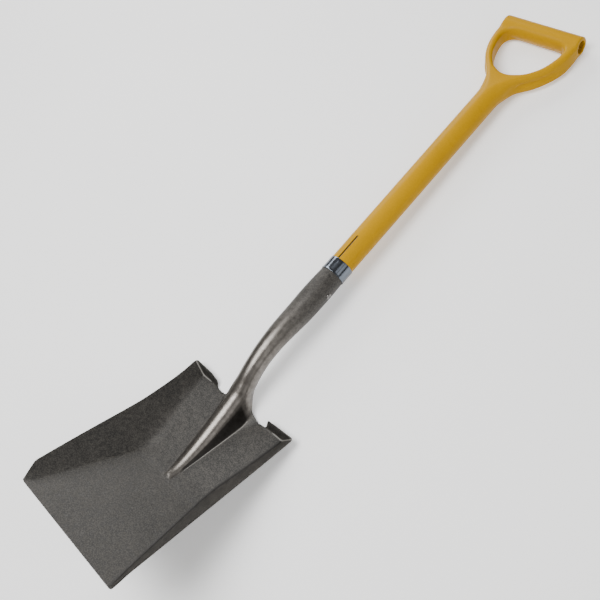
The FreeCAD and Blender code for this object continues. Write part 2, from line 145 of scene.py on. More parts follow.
# the pan, in its own axes: y runs back from the mouth to the heel's edge at 0. The crease and the
# rim are given by stations and how far out, or how high, they are at each
MOUTH, BEND, HEEL_RISE, TIP = -298.6, -135.0, 38.0, -142.0
MOUTH_RISE, BEND_HALF = 36.4, 16.0
CREASE = ([-300, -275, -235, -195, -155, -135, -115, -95, -55, -15, 0],
          [108.8, 101.8, 91.2, 81.2, 71.0, 66.9, 68.0, 71.8, 80.9, 88.8, 91.0])
RIM_X = ([-300, -273, -225, -175, -125, -100, -50, -25, 0],
         [110.6, 116.0, 114.2, 111.6, 109.1, 107.9, 107.6, 108.0, 109.4])
RIM_Z = ([-298.6, -273, -225, -175, -125, -100, -75, -50, -25, 0],
         [-1.35, 12.2, 11.7, 10.7, 9.1, 8.8, 9.9, 11.5, 13.9, 18.2])


def floor_z(y):
    """Height of the floor: two straight runs meeting in a short bend."""
    mouth_slope, heel_slope = MOUTH_RISE / (BEND - MOUTH), HEEL_RISE / -BEND
    past = y - BEND
    if past < -BEND_HALF:
        return -HEEL_RISE - mouth_slope * past
    if past > BEND_HALF:
        return -HEEL_RISE + heel_slope * past
    u = (past + BEND_HALF) / (2 * BEND_HALF)
    return -HEEL_RISE + BEND_HALF * (mouth_slope * (1 - u) ** 2 + heel_slope * u ** 2)


def roll(crest, edge, edge_x, radius, shares):
    """Half of a section through the rolled middle: an arc over the top, then a straight flank.

    crest and edge are (y, z) in the pan's axes, and edge_x is how far the flank's foot stands out.
    """
    up = np.subtract(crest, edge)
    tall = np.hypot(*up)
    up = up / tall
    deep = tall - radius
    reach = math.hypot(edge_x, deep)
    foot_angle = math.atan2(edge_x, -deep)
    angle = foot_angle - math.acos(min(1.0, radius / reach))
    flank = math.sqrt(max(0.0, reach ** 2 - radius ** 2))
    start = np.array([math.sin(angle), math.cos(angle)]) * radius
    end = np.array([edge_x, -deep])
    points = []
    for share in shares(radius * angle, flank):
        along = share * (radius * angle + flank)
        if along <= radius * angle:
            turn = along / radius
            across, height = math.sin(turn) * radius, math.cos(turn) * radius
        else:
            part = (along - radius * angle) / max(flank, 1e-9)
            across, height = start + (end - start) * part
        y, z = np.array(edge) + up * (height + deep)
        points.append((across, y, z))
    return points


def roll_shares(evenness):
    """Where the 12 steps of a half section fall, from arc and flank (0) to evenly spaced (1)."""
    def shares(arc, flank):
        whole = arc + flank
        split = [arc * k / 6 / whole for k in range(7)]
        split += [(arc + flank * part) / whole for part in (0.2, 0.4, 0.6, 0.78, 0.92, 1.0)]
        return [(1 - evenness) * a + evenness * k / 12 for k, a in enumerate(split)]
    return shares


# columns of points, counted out from the middle: the frog's foot, the end of the strip beside it,
# the start of the turned-up step, the crease and the rim
FOOT, STRIP_END, TURN_UP, CREASE_COLUMN, RIM = 12, 14, 16, 20, 24
# sizes of the frog at the heel and at its tip
FROG_TOP, TIP_TOP = 46, 4.5
FROG_FOOT, TIP_FOOT = 31, 6.5
FROG_STRIP, TIP_STRIP = 39, 15
TIP_RADIUS, RADIUS_GAIN = 6.0, 11.0
# over this length before the heel the frog's feet rise off the floor and draw in
FEET_OVER, FEET_RISE, FEET_DRAW_IN = 24, 5.5, 6.5

pan_rows = [-298.6, -296, -289, -279, -273, -266, -250, -232, -214, -198, -182, -168, -158, -151,
            -147, -143.5, -140, -135, -128, -119, -108, -96, -84, -72, -60, -48, -37, -27, -18.5,
            -11.5, -6.5, -3.2, 0]
NEAR_HEEL_CRESTS = {-18.5: (-19.0, 32.3), -11.5: (-13.2, 36.6), -6.5: (-9.6, 39.6),
                    -3.2: (-7.2, 42.0), 0: (-5.0, 44.4)}

rows = []
for y in pan_rows:
    left = max(0.0, (y - TIP) / -TIP)
    height = floor_z(y)
    half = []
    if y > TIP:
        ridge = FROG_TOP * left ** 1.6 + TIP_TOP * (1 - left)
        radius = TIP_RADIUS + RADIUS_GAIN * left ** 0.5
        foot = FROG_FOOT * left + TIP_FOOT * (1 - left)
        rise = max(0.0, (y + FEET_OVER) / FEET_OVER) ** 1.6
        crest = NEAR_HEEL_CRESTS.get(y, (y, height + ridge))
        half += roll(crest, (y, height + FEET_RISE * rise), foot - FEET_DRAW_IN * rise, radius,
                     roll_shares(0))
        strip_end = FROG_STRIP * left + TIP_STRIP * (1 - left)
        beside = foot + min(2.0 + 3.0 * left, (strip_end - foot) / 2)
        half += [(beside, y, height + 1.2 * rise), (strip_end, y, height)]
    else:
        strip_end = TIP_STRIP
        half += [(strip_end * k / STRIP_END, y, height) for k in range(STRIP_END + 1)]
    crease = np.interp(y, *CREASE)
    rim = np.array([np.interp(y, *RIM_X), np.interp(y, *RIM_Z)])
    lean = rim - (crease, height)
    wide = np.hypot(*lean)
    inner = crease - min(5.0, 0.25 * (crease - strip_end))
    half += [(strip_end + (inner - strip_end) * part, y, height)
             for part in (0.17, 0.37, 0.47, 0.74, 1.0)]
    half.append((crease, y, height))
    near = min(0.3, 5.0 / wide)
    for part in (near, near + (1 - near) * 0.40, near + (1 - near) * 0.74, 1.0):
        half.append((crease + lean[0] * part, y, height + lean[1] * part))
    rows.append(half)

# the bare edge between the frog and the steps is dished: column, how far, and how much lifted
HEEL_DISH = ((12, 0.0, 0.4), (13, -0.8, 0), (14, -3.2, 0), (15, -5.4, 0), (16, -1.6, 0.8))
heel = rows[-1]
for column, dish, lift in HEEL_DISH:
    x, y, z = heel[column]
    heel[column] = (x, y + dish, z + dish * 0.28 + lift)

# the step: rows that turn up from the heel, and meet the wall's end in a mitre
STEP_PARTS, STEP_TOP, STEP_INNER_TOP = (0.2, 0.5, 0.8, 1.0), 18.4, 11.4
heel_crease = CREASE[1][-1]
mitre = [heel[CREASE_COLUMN]]
for part in STEP_PARTS:
    mitre.append((heel_crease + STEP_TOP * part, 0.2 + 1.8 * part, STEP_TOP * part))
for column in range(CREASE_COLUMN + 1, RIM + 1):
    heel[column] = mitre[column - CREASE_COLUMN]
step_rows = []
for level, part in enumerate(STEP_PARTS, start=1):
    outer = np.array(mitre[level])
    inner = np.array([56.4 + 0.35 * level, -0.6 + 0.9 * level, 1.2 + STEP_INNER_TOP * part])
    near_mitre = 1 - 3.5 / (outer[0] - inner[0])
    row = {CREASE_COLUMN: tuple(outer)}
    for column, share in ((16, 0.0), (17, 0.13), (18, 0.5), (19, near_mitre)):
        row[column] = tuple(inner + (outer - inner) * share)
    step_rows.append(row)

# the neck and socket: crest and back edge of each section, then round sections up the handle
neck = [((-1.7, 48.1), (6.0, 10.5), 19.5, 17.2, 0.25),
        ((1.4, 51.4), (13.5, 17.5), 12.5, 16.6, 0.5),
        ((4.2, 54.6), (20.5, 25.0), 8.5, 16.2, 0.75),
        ((6.6, 57.4), (26.4, 33.4), 7.0, 15.9, 1.0)]
CENTRE_LINE = [(-193, -9.9, 15.6), (-185, -6.7, 15.5), (-176.5, -3.9, 15.5), (-168, -1.5, 15.6),
               (-159.5, 0.5, 15.8), (-151, 1.9, 16.1), (-142, 3.0, 16.4), (-133, 3.6, 16.8),
               (-124, 3.9, 17.2), (-115, 3.8, 17.7), (-106, 3.4, 18.1), (-97, 2.8, 18.5),
               (-86, 1.9, 19.0), (-74, 1.0, 19.5), (-58, 0.9, 20.0), (-41, 0.9, 20.2),
               (-24, 0.5, 20.0), (-12, 0.2, 19.6), (-3, 0.0, 19.2), (3, 0.0, 19.05),
               (8, 0.0, 19.05)]
SEAM_GAP = ([-193, -185, -151, -97, 8], [6.4, 4.6, 2.2, 0.8, 0.8])
tube_rows = []
for crest, edge, edge_x, radius, evenness in neck:
    tube_rows.append(pan_to_handle(roll(crest, edge, edge_x, radius, roll_shares(evenness))))
for number, (y, z, radius) in enumerate(CENTRE_LINE):
    before = CENTRE_LINE[max(number - 1, 0)]
    after = CENTRE_LINE[min(number + 1, len(CENTRE_LINE) - 1)]
    ahead = math.atan2(after[1] - before[1], after[0] - before[0])
    if number == 0:
        ahead = math.radians(22.5)
    # the last point is at the seam, and the points stand out by as much as smoothing draws in
    last = math.pi - math.asin(np.interp(y, *SEAM_GAP) / radius)
    out = radius / ((2 + math.cos(last / FOOT)) / 3)
    tube_rows.append(np.array([
        (out * math.sin(last * k / FOOT),
         y - out * math.cos(last * k / FOOT) * math.sin(ahead),
         z + out * math.cos(last * k / FOOT) * math.cos(ahead)) for k in range(FOOT + 1)]))

HEEL_ROW = len(pan_rows) - 1
points, faces, smooth_part, wear_and_highlight_part, painted_shade_part = [], [], [], [], []
numbers = {}
# the heel's folds are made lighter, partly wear and partly painted highlight; the right foot of the
# frog gets a painted highlight
FOLD_WEAR_AND_HIGHLIGHT, FOOT_PAINTED_HIGHLIGHT = 0.9, 0.68
# near-black painted shade on the right flank of the frog and in the right crease
CREASE_PAINTED_SHADE, FLANK_PAINTED_SHADE = 1.0, 0.72


def wear(row, column, side):
    """How much lighter a vertex is made, by wear and painted highlight, and how much painted shade
    it gets. Rows of the pan are int.
    """
    right_pan = side > 0 and isinstance(row, int)
    on_foot = right_pan and column == FOOT and -120 < pan_rows[row] < -10
    on_flank = right_pan and 7 <= column < FOOT and -125 < pan_rows[row] < -10
    on_fold = row == HEEL_ROW and column > TURN_UP + 1
    wear_and_highlight = FOLD_WEAR_AND_HIGHLIGHT if on_fold else FOOT_PAINTED_HIGHLIGHT if on_foot else 0.0
    if right_pan and column == CREASE_COLUMN:
        return wear_and_highlight, CREASE_PAINTED_SHADE
    return wear_and_highlight, FLANK_PAINTED_SHADE if on_flank else 0.0


def vertex(row, column, side, place, polish):
    """The number of a vertex, made once; column 0 is shared by both sides."""
    key = (row, column, side if column else 0)
    if key not in numbers:
        numbers[key] = len(points)
        points.append((place[0] * side, place[1], place[2]))
        smooth_part.append(polish)
        wear_and_highlight, painted_shade = wear(row, column, side)
        wear_and_highlight_part.append(wear_and_highlight)
        painted_shade_part.append(painted_shade)
    return numbers[key]


def quad(corners, side):
    faces.append(corners if side > 0 else corners[::-1])


# the left crease is rolled with a wide radius between the bend and the heel
SOFT_CREASE = ([-150, -115, -30, -3], [0.2, 1, 1, 0])
soft_rows = []
for y, half in zip(pan_rows, rows):
    soft = np.interp(y, *SOFT_CREASE)
    bent = [np.array(place, float) for place in half]
    if y < 0:
        crease = bent[CREASE_COLUMN].copy()
        bent[CREASE_COLUMN - 1] = crease - (5 + 9 * soft, 0, 0)
        bent[CREASE_COLUMN] = crease + (-1.6 * soft, 0, 1.5 * soft)
        bent[CREASE_COLUMN + 1] += (bent[CREASE_COLUMN + 2] - bent[CREASE_COLUMN + 1]) * 0.5 * soft
    soft_rows.append(bent)
pan_places = {1: [pan_to_handle(half) for half in rows],
              -1: [pan_to_handle(half) for half in soft_rows]}
# the left step's inner end is cut in a curve: how far in, and how far down, at each level
LEFT_STEP_CUT, LEFT_STEP_DROP = (0.4, 1.6, 4.2, 9.0), (0, 0.2, 0.5, 1.2)
TUBE_POLISH = ([-165, -55], [1.0, 0.12])       # rubbed bright at the neck, dull at the socket
for side in (1, -1):
    def pan_vertex(row, column):
        frog = max(0.0, (pan_rows[row] - TIP) / -TIP)
        polish = min(1.0, 0.45 + frog) * min(1.0, (FOOT + 1 - column) / 6)
        if column > FOOT or not frog:
            polish = 0.0
        return vertex(row, column, side, pan_places[side][row][column], polish)
    for row in range(HEEL_ROW):
        for column in range(RIM):
            quad((pan_vertex(row, column), pan_vertex(row, column + 1),
                  pan_vertex(row + 1, column + 1), pan_vertex(row + 1, column)), side)

    def step_vertex(level, column):
        if level == 0:
            return pan_vertex(HEEL_ROW, column)
        if column == CREASE_COLUMN:
            return pan_vertex(HEEL_ROW, CREASE_COLUMN + level)
        place = np.array(step_rows[level - 1][column])
        if side < 0 and column < CREASE_COLUMN - 1:
            place[0] += LEFT_STEP_CUT[level - 1] * (1 - (place[0] - 56) / 60) ** 2
            place[2] -= LEFT_STEP_DROP[level - 1] * (column == TURN_UP)
        place = pan_to_handle([place])[0]
        return vertex(("step", level), column, side, place, 0.0)
    for level in range(len(STEP_PARTS)):
        for column in range(TURN_UP, CREASE_COLUMN):
            quad((step_vertex(level, column), step_vertex(level, column + 1),
                  step_vertex(level + 1, column + 1), step_vertex(level + 1, column)), side)

    def tube_vertex(number, column):
        if number < 0:
            return pan_vertex(HEEL_ROW, column)
        return vertex(("tube", number), column, side, tube_rows[number][column],
                      np.interp(tube_rows[number][0][1], *TUBE_POLISH))
    for number in range(-1, len(tube_rows) - 1):
        for column in range(FOOT):
            quad((tube_vertex(number, column), tube_vertex(number, column + 1),
                  tube_vertex(number + 1, column + 1), tube_vertex(number + 1, column)), side)

# speckled dark lacquer in the pan, thin and smooth where the sheet is rolled, lighter at the heel's
# folds (wear and painted highlight) and along the right foot of the frog (painted highlight), with
# near-black painted shade on the right flank of the frog and in the right crease
steel, tree, shader = surface("lacquered_steel", 0.3, 0.5, **{"Specular IOR Level": 0.42})
rolled_share = tree.nodes.new("ShaderNodeAttribute")
rolled_share.attribute_name = "rolled"
speckle = grain(tree, 620, 4)
mottle = grain(tree, 160, 4)
cloud = grain(tree, 16, 3)
speckled = ramp(tree, speckle, (0.44, (0.006, 0.006, 0.005)), (0.59, (0.092, 0.086, 0.076)))
mottled = ramp(tree, mottle, (0.41, (0.011, 0.010, 0.009)), (0.60, (0.054, 0.050, 0.044)))
clouded = ramp(tree, cloud, (0.35, (0.014, 0.013, 0.012)), (0.68, (0.040, 0.036, 0.032)))
pan_colour = blend(tree, 0.35, blend(tree, 0.5, speckled, mottled), clouded)
rolled_colour = ramp(tree, mottle, (0.3, (0.125, 0.114, 0.102)), (0.7, (0.195, 0.180, 0.164)))
wear_and_highlight_share = tree.nodes.new("ShaderNodeAttribute")
wear_and_highlight_share.attribute_name = "wear_and_highlight"
# lighter colour: wear with painted highlight at the heel's folds, painted highlight along the right
# foot of the frog
worn_and_highlit = ramp(tree, wear_and_highlight_share.outputs["Fac"], (0.50, 0.0), (0.68, 0.45))
# painted shade: near-black on the right flank of the frog and in the right crease
painted_shade_share = tree.nodes.new("ShaderNodeAttribute")
painted_shade_share.attribute_name = "painted_shade"
painted_shade_amount = ramp(tree, painted_shade_share.outputs["Fac"], (0.20, 0.0), (0.80, 0.9))
lacquer_with_painted_shade = blend(tree, painted_shade_amount, blend(tree, rolled_share.outputs["Fac"], pan_colour, rolled_colour),
                  (0.010, 0.009, 0.008))
tree.links.new(blend(tree, worn_and_highlit, lacquer_with_painted_shade, (0.36, 0.345, 0.32)), shader.inputs["Base Color"])
pan_rough = ramp(tree, mottle, (0.3, 0.46), (0.7, 0.60))
rolled_rough = ramp(tree, cloud, (0.3, 0.25), (0.7, 0.32))
tree.links.new(blend(tree, rolled_share.outputs["Fac"], pan_rough, rolled_rough),
               shader.inputs["Roughness"])
tree.links.new(ramp(tree, rolled_share.outputs["Fac"], (0.0, 0.3), (0.7, 0.92)),
               shader.inputs["Metallic"])
bump(tree, shader, speckle, 0.25, 0.0004)
bump(tree, shader, cloud, 0.2, 0.002)

worn, tree, shader = surface("worn_rim", 1.0, 0.35)
tree.links.new(ramp(tree, grain(tree, 300, 3),
                    (0.3, (0.22, 0.21, 0.195)), (0.7, (0.46, 0.445, 0.42))),
               shader.inputs["Base Color"])
bump(tree, shader, grain(tree, 700, 2), 0.2, 0.0003)

blade = finished("blade_visual", at_rest(points), faces, steel)
blade.data.materials.append(worn)
for attribute, values in (("rolled", smooth_part), ("wear_and_highlight", wear_and_highlight_part),
                          ("painted_shade", painted_shade_part)):
    blade.data.attributes.new(attribute, "FLOAT", "POINT").data.foreach_set("value", values)
smoothing = blade.modifiers.new("smoothing", "SUBSURF")
smoothing.levels = smoothing.render_levels = 2
smoothing.boundary_smooth = "PRESERVE_CORNERS"
gauge = blade.modifiers.new("gauge", "SOLIDIFY")
gauge.thickness, gauge.offset = SHEET * 0.001, -1
edge = blade.modifiers.new("rolled_rim", "BEVEL")
edge.width, edge.segments, edge.limit_method = 0.00045, 2, "ANGLE"
edge.angle_limit = math.radians(55)
edge.harden_normals = True
edge.material = 1
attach(blade, "root")
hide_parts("blade")

# ---------------------------------------------------------------------------------------------
# Handle: one moulding of yellow thermoplastic. A round sleeve, slit at the front so that the
# ferrule can close it on the core, flares into a yoke and two flat arms that hold a bored bar.
# ---------------------------------------------------------------------------------------------
SLEEVE, SLEEVE_BORE, SLEEVE_START, BORE_TOP = 19.05, 17.05, 8.15, 373.45
BAR_Y, BAR, BAR_HALF, BAR_BORE, BAR_END_RADIUS = 531.3, 15.82, 70.0, 10.0, 2.2
SLIT_END, SLIT_HALF = 68.6, 1.35
OUTSIDE = [(19.05, 330), (19.05, 378), (20.3, 393), (24, 411), (30, 424), (38.5, 435.5), (51, 450),
           (60.5, 466), (66.5, 482), (69.6, 499), (70.6, 515), (69.3, 528), (67.5, 533)]
OPENING = [(0, 430), (9, 431.2), (18, 435), (27, 440.3), (35.5, 448.5), (45, 461), (51, 474),
           (55, 487.5), (56.6, 499), (55.5, 507), (51, 513.5), (43, 517.5), (30, 519), (0, 519)]


def curve_through(knots, closed_by):
    """A dense mirrored polygon along a smooth curve through half of its knots."""
    knots = np.array(knots, float)
    padded = np.vstack([2 * knots[0] - knots[1], knots, 2 * knots[-1] - knots[-2]])
    half = []
    for a, b, c, d in zip(padded, padded[1:], padded[2:], padded[3:]):
        for t in np.linspace(0, 1, 16, endpoint=False):
            half.append(0.5 * (2 * b + (c - a) * t + (2 * a - 5 * b + 4 * c - d) * t ** 2
                               + (3 * b - a - 3 * c + d) * t ** 3))
    half = np.array(half + [knots[-1]] + closed_by)
    return np.vstack([half, half[::-1] * (-1, 1)])


def polygon_distance(polygon, across, along):
    """Signed distances to a polygon, negative inside, on a table of places."""
    px, py = np.meshgrid(across, along, indexing="ij")
    nearest, inside = np.full(px.shape, 1e9), np.zeros(px.shape, bool)
    for (ax, ay), (bx, by) in zip(polygon, np.roll(polygon, -1, axis=0)):
        ex, ey = bx - ax, by - ay
        length = ex * ex + ey * ey
        if length < 1e-12:
            continue
        t = np.clip(((px - ax) * ex + (py - ay) * ey) / length, 0, 1)
        nearest = np.minimum(nearest, (px - ax - t * ex) ** 2 + (py - ay - t * ey) ** 2)
        if ay != by:
            crossed = ((ay > py) != (by > py)) & (px < ax + (py - ay) / ey * ex)
            inside ^= crossed
    return np.where(inside, -1, 1) * np.sqrt(nearest)


# the grip's two outlines are looked up in tables, whose sharp valleys are smoothed a little; below
# TABLE_START the sleeve is plain
TABLE_STEP, TABLE_START = 0.75, 350
table_x, table_y = np.arange(-90, 90.1, TABLE_STEP), np.arange(340, 560.1, TABLE_STEP)
outer_table = polygon_distance(curve_through(OUTSIDE, []), table_x, table_y)
opening_table = polygon_distance(curve_through(OPENING, []), table_x, table_y)
for _ in range(2):
    for table in (outer_table, opening_table):
        for axis in (0, 1):
            rolled_sum = np.roll(table, 1, axis) + 2 * table + np.roll(table, -1, axis)
            table[2:-2, 2:-2] = (rolled_sum / 4)[2:-2, 2:-2]


def looked_up(table, x, y):
    """A table's value between its places."""
    u = np.clip((x - table_x[0]) / TABLE_STEP, 0, len(table_x) - 1.001)
    v = np.clip((y - table_y[0]) / TABLE_STEP, 0, len(table_y) - 1.001)
    i, j = u.astype(int), v.astype(int)
    u, v = u - i, v - j
    return ((table[i, j] * (1 - u) + table[i + 1, j] * u) * (1 - v)
            + (table[i, j + 1] * (1 - u) + table[i + 1, j + 1] * u) * v)


def eased(value, start, end):
    t = np.clip((value - start) / (end - start), 0, 1)
    return t * t * (3 - 2 * t)


def joined(a, b, soft):
    """The union of two bodies with a fillet of about this size."""
    h = np.maximum(soft - np.abs(a - b), 0) / soft
    return np.minimum(a, b) - h * h * soft / 4


# how much thinner and sharper the flat yoke and arms are than the round sleeve, how much further
# out, deeper and sharper the arms are at the back, and the widest that they get
YOKE_THINNER, EDGE_SHARPER = 7.05, 13.4
BACK_OUT, BACK_DEEPER, BACK_SHARPER = 4.2, 1.8, 2.2
WIDEST_AT_BAR, WIDER_BELOW_BAR = 70.2, 2.2
HOLLOW_RADIUS, HOLLOW_FADE = 5.0, 9.0


def overlap(a, b, edge_radius):
    """What is inside both bodies, with the edge between them rounded."""
    a, b = a + edge_radius, b + edge_radius
    return (np.hypot(np.maximum(a, 0), np.maximum(b, 0)) + np.minimum(np.maximum(a, b), 0)
            - edge_radius)


def handle_distance(x, y, z):
    """How far a place is outside the moulding; negative inside it."""
    outside = np.where(y < TABLE_START, np.abs(x) - SLEEVE, looked_up(outer_table, x, y))
    opening = np.where(y < TABLE_START, 99.0, looked_up(opening_table, x, y))
    # towards the back the arms stand out further, reach deeper and keep a firmer edge
    arms = eased(y, 414, 440)
    behind = np.clip((12 - z) / 24, 0, 1.1) * arms
    widest = WIDEST_AT_BAR + WIDER_BELOW_BAR * eased(y, 532, 506)
    outside = -joined(BACK_OUT * behind - outside, widest - np.abs(x), 2.0)
    plan = -joined(-outside, opening, 2.0)
    deeper = np.where(z < 0, BACK_DEEPER * arms, 0)
    depth = SLEEVE - YOKE_THINNER * eased(y, 388, 455) + deeper
    sharper = EDGE_SHARPER + np.where(z < 0, BACK_SHARPER, 0)
    rounding = np.minimum(depth, SLEEVE - sharper * eased(y, 383, 434))
    slab = overlap(plan, np.abs(z) - depth, rounding)
    # the bar joins the arms with a fillet, smaller at the back, and nothing stands out past it
    bar_round = np.hypot(y - BAR_Y, z) - BAR
    bar = overlap(bar_round, np.abs(x) - BAR_HALF, BAR_END_RADIUS)
    body = joined(slab, bar, 6.0 - 3.2 * eased(z, 0, -8))
    body = np.where(y > BAR_Y, np.maximum(body, bar_round), body)
    # a shallow hollow runs up the outside of each arm and fades out half way
    away = 3.2 + 3.6 * eased(y, 452, 492) + 2.6 * eased(y, 428, 408)
    faded = eased(y, 424, 402) + eased(y, 484, 506)
    hollow = np.hypot(outside - away, z + 0.5) - HOLLOW_RADIUS + HOLLOW_FADE * faded
    body = -joined(-body, hollow, 2.5)
    # the bar is bored through; the sleeve is cut off square, hollow for the core, and slit
    body = -joined(-body, np.hypot(y - BAR_Y, z) - BAR_BORE, 1.4)
    body = np.maximum(body, SLEEVE_START - y)
    core_room = np.maximum(np.hypot(x, z) - SLEEVE_BORE, y - BORE_TOP)
    body = np.maximum(body, -core_room)
    slit = np.maximum(np.hypot(x, np.maximum(y - SLIT_END + SLIT_HALF, 0)) - SLIT_HALF, -z)
    return -joined(-body, slit, 0.5)


def spaced(*stops):
    """Places whose spacing changes along the way: start, then (end, spacing) in turn."""
    places = [stops[0]]
    for end, spacing in stops[1:]:
        count = max(1, round((end - places[-1]) / spacing))
        places += list(np.linspace(places[-1], end, count + 1)[1:])
    return np.array(places)


def meshed(distance, xs, ys, zs):
    """A closed mesh of the places where a distance is zero, one point in each cell it crosses."""
    value = distance(*np.meshgrid(xs, ys, zs, indexing="ij", sparse=False))
    inside = value < 0
    count = inside.astype(np.int8)
    around = sum(count[i:count.shape[0] - 1 + i, j:count.shape[1] - 1 + j, k:count.shape[2] - 1 + k]
                 for i in (0, 1) for j in (0, 1) for k in (0, 1))
    cells = np.argwhere((around > 0) & (around < 8))
    number = -np.ones(around.shape, np.int64)
    number[tuple(cells.T)] = np.arange(len(cells))
    total, hits = np.zeros((len(cells), 3)), np.zeros(len(cells))
    corners = [(i, j, k) for i in (0, 1) for j in (0, 1) for k in (0, 1)]
    for start in corners:
        for axis in range(3):
            if start[axis]:
                continue
            end = tuple(1 if a == axis else start[a] for a in range(3))
            a, b = cells + start, cells + end
            va, vb = value[tuple(a.T)], value[tuple(b.T)]
            crossed = (va < 0) != (vb < 0)
            t = np.where(crossed, va / np.where(crossed, va - vb, 1), 0)
            pa = np.column_stack([xs[a[:, 0]], ys[a[:, 1]], zs[a[:, 2]]])
            pb = np.column_stack([xs[b[:, 0]], ys[b[:, 1]], zs[b[:, 2]]])
            total += np.where(crossed[:, None], pa + (pb - pa) * t[:, None], 0)
            hits += crossed
    places = total / hits[:, None]
    quads = []
    for axis in range(3):
        low, high = [slice(None)] * 3, [slice(None)] * 3
        low[axis], high[axis] = slice(None, -1), slice(1, None)
        changes = inside[tuple(low)] != inside[tuple(high)]
        first, second = (axis + 1) % 3, (axis + 2) % 3
        edges = np.argwhere(changes)
        edges = edges[(edges[:, first] > 0) & (edges[:, first] < inside.shape[first] - 1)
                      & (edges[:, second] > 0) & (edges[:, second] < inside.shape[second] - 1)]
        around_edge = []
        for back_first, back_second in ((1, 1), (0, 1), (0, 0), (1, 0)):
            cell = edges.copy()
            cell[:, first] -= back_first
            cell[:, second] -= back_second
            around_edge.append(number[tuple(cell.T)])
        square = np.column_stack(around_edge)
        leaving = inside[tuple(edges.T)]
        quads.append(np.where(leaving[:, None], square, square[:, ::-1]))
    return places, np.vstack(quads)


def slope_of(distance, places, step):
    """The direction in which a distance grows fastest, and how fast."""
    x, y, z = places.T
    slope = np.column_stack([distance(x + step, y, z) - distance(x - step, y, z),
                             distance(x, y + step, z) - distance(x, y - step, z),
                             distance(x, y, z + step) - distance(x, y, z - step)]) / (2 * step)
    return slope, np.maximum((slope ** 2).sum(1), 0.2)


# cells are small at the slit and the ends, and the mesh's points are then drawn onto the surface
handle_points, handle_faces = meshed(
    handle_distance,
    spaced(-75.2, (-4, 1.0), (-1.5, 0.5), (1.5, 0.3), (4, 0.5), (75.2, 1.0)),
    spaced(6.9, (9.4, 0.5), (65, 4.0), (70.5, 0.55), (378, 5.0), (549.0, 1.25)),
    spaced(-20.4, (20.4, 0.95)))
DRAWN_IN, DRAWN_AT_MOST, SLOPE_STEP = 3, 0.8, 0.15
for _ in range(DRAWN_IN):
    slope, steep = slope_of(handle_distance, handle_points, SLOPE_STEP)
    move = np.clip(handle_distance(*handle_points.T) / steep, -DRAWN_AT_MOST, DRAWN_AT_MOST)
    handle_points = handle_points - slope * move[:, None]

plastic, tree, shader = surface("yellow_plastic", 0.0, 0.36, **{"Specular IOR Level": 0.07})
tint = ramp(tree, grain(tree, 9, 3), (0.32, (0.410, 0.213, 0.0)), (0.68, (0.455, 0.240, 0.0)))
flecks = ramp(tree, grain(tree, 420, 3), (0.35, (0.390, 0.202, 0.0)), (0.66, (0.475, 0.252, 0.0)))
tree.links.new(blend(tree, 0.35, tint, flecks), shader.inputs["Base Color"])
tree.links.new(ramp(tree, grain(tree, 30, 4), (0.3, 0.27), (0.7, 0.36)), shader.inputs["Roughness"])
bump(tree, shader, grain(tree, 1500, 2), 0.06, 0.0002)
bump(tree, shader, grain(tree, 22, 2), 0.05, 0.002)

handle = finished("d_handle_visual", at_rest(handle_points), handle_faces, plastic)
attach(handle, "root")
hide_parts("d_handle")

# ---------------------------------------------------------------------------------------------
# Ferrule: a band of bright zinc-plated strip steel, bent round with its ends lapped, and crimped
# over the joint between the socket and the sleeve. Its lower edge is very slightly flared.
# ---------------------------------------------------------------------------------------------
BAND_BORE, BAND, TURNS = 19.2, 19.95, 192
LAP, LAP_AT, LAP_FADE = 0.32, math.radians(43), math.radians(40)
profile = [(BAND_BORE, 1.2), (BAND_BORE, 8), (BAND_BORE, 15), (BAND_BORE, 22.7),
           (BAND_BORE + 0.2, 22.95), (BAND - 0.25, 22.95), (BAND - 0.06, 22.8), (BAND, 22.4),
           (BAND, 19), (BAND - 0.05, 15), (BAND - 0.08, 11), (BAND - 0.05, 7), (BAND, 4),
           (BAND, 2.0), (BAND + 0.12, 1.3), (BAND + 0.36, 0.85), (BAND + 0.42, 0.5),
           (BAND + 0.34, 0.15), (BAND + 0.1, 0.0), (BAND_BORE + 0.35, 0.0),
           (BAND_BORE + 0.12, 0.25)]
band_points, band_faces = [], []
for turn in range(TURNS):
    angle = 2 * math.pi * turn / TURNS
    past = (angle - LAP_AT) % (2 * math.pi)
    lapped = -LAP * (1 - past / LAP_FADE) if past < LAP_FADE else 0.0
    for radius, y in profile:
        out = radius
        if radius > BAND_BORE:
            out += lapped * (radius - BAND_BORE) / (BAND - BAND_BORE)
        band_points.append((out * math.sin(angle), y, out * math.cos(angle)))
for turn in range(TURNS):
    here, there = turn * len(profile), (turn + 1) % TURNS * len(profile)
    for step in range(len(profile)):
        following = (step + 1) % len(profile)
        band_faces.append((here + step, here + following, there + following, there + step))

zinc, tree, shader = surface("bright_zinc", 1.0, 0.2)
tree.links.new(ramp(tree, grain(tree, 60, 3, (1, 0.15, 1)),
                    (0.3, (0.085, 0.098, 0.118)), (0.7, (0.150, 0.168, 0.195))),
               shader.inputs["Base Color"])
tree.links.new(ramp(tree, grain(tree, 200, 3), (0.3, 0.14), (0.7, 0.22)),
               shader.inputs["Roughness"])
bump(tree, shader, grain(tree, 45, 2), 0.12, 0.001)
band = finished("ferrule_visual", at_rest(band_points), band_faces, zinc)
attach(band, "root")
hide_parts("ferrule")

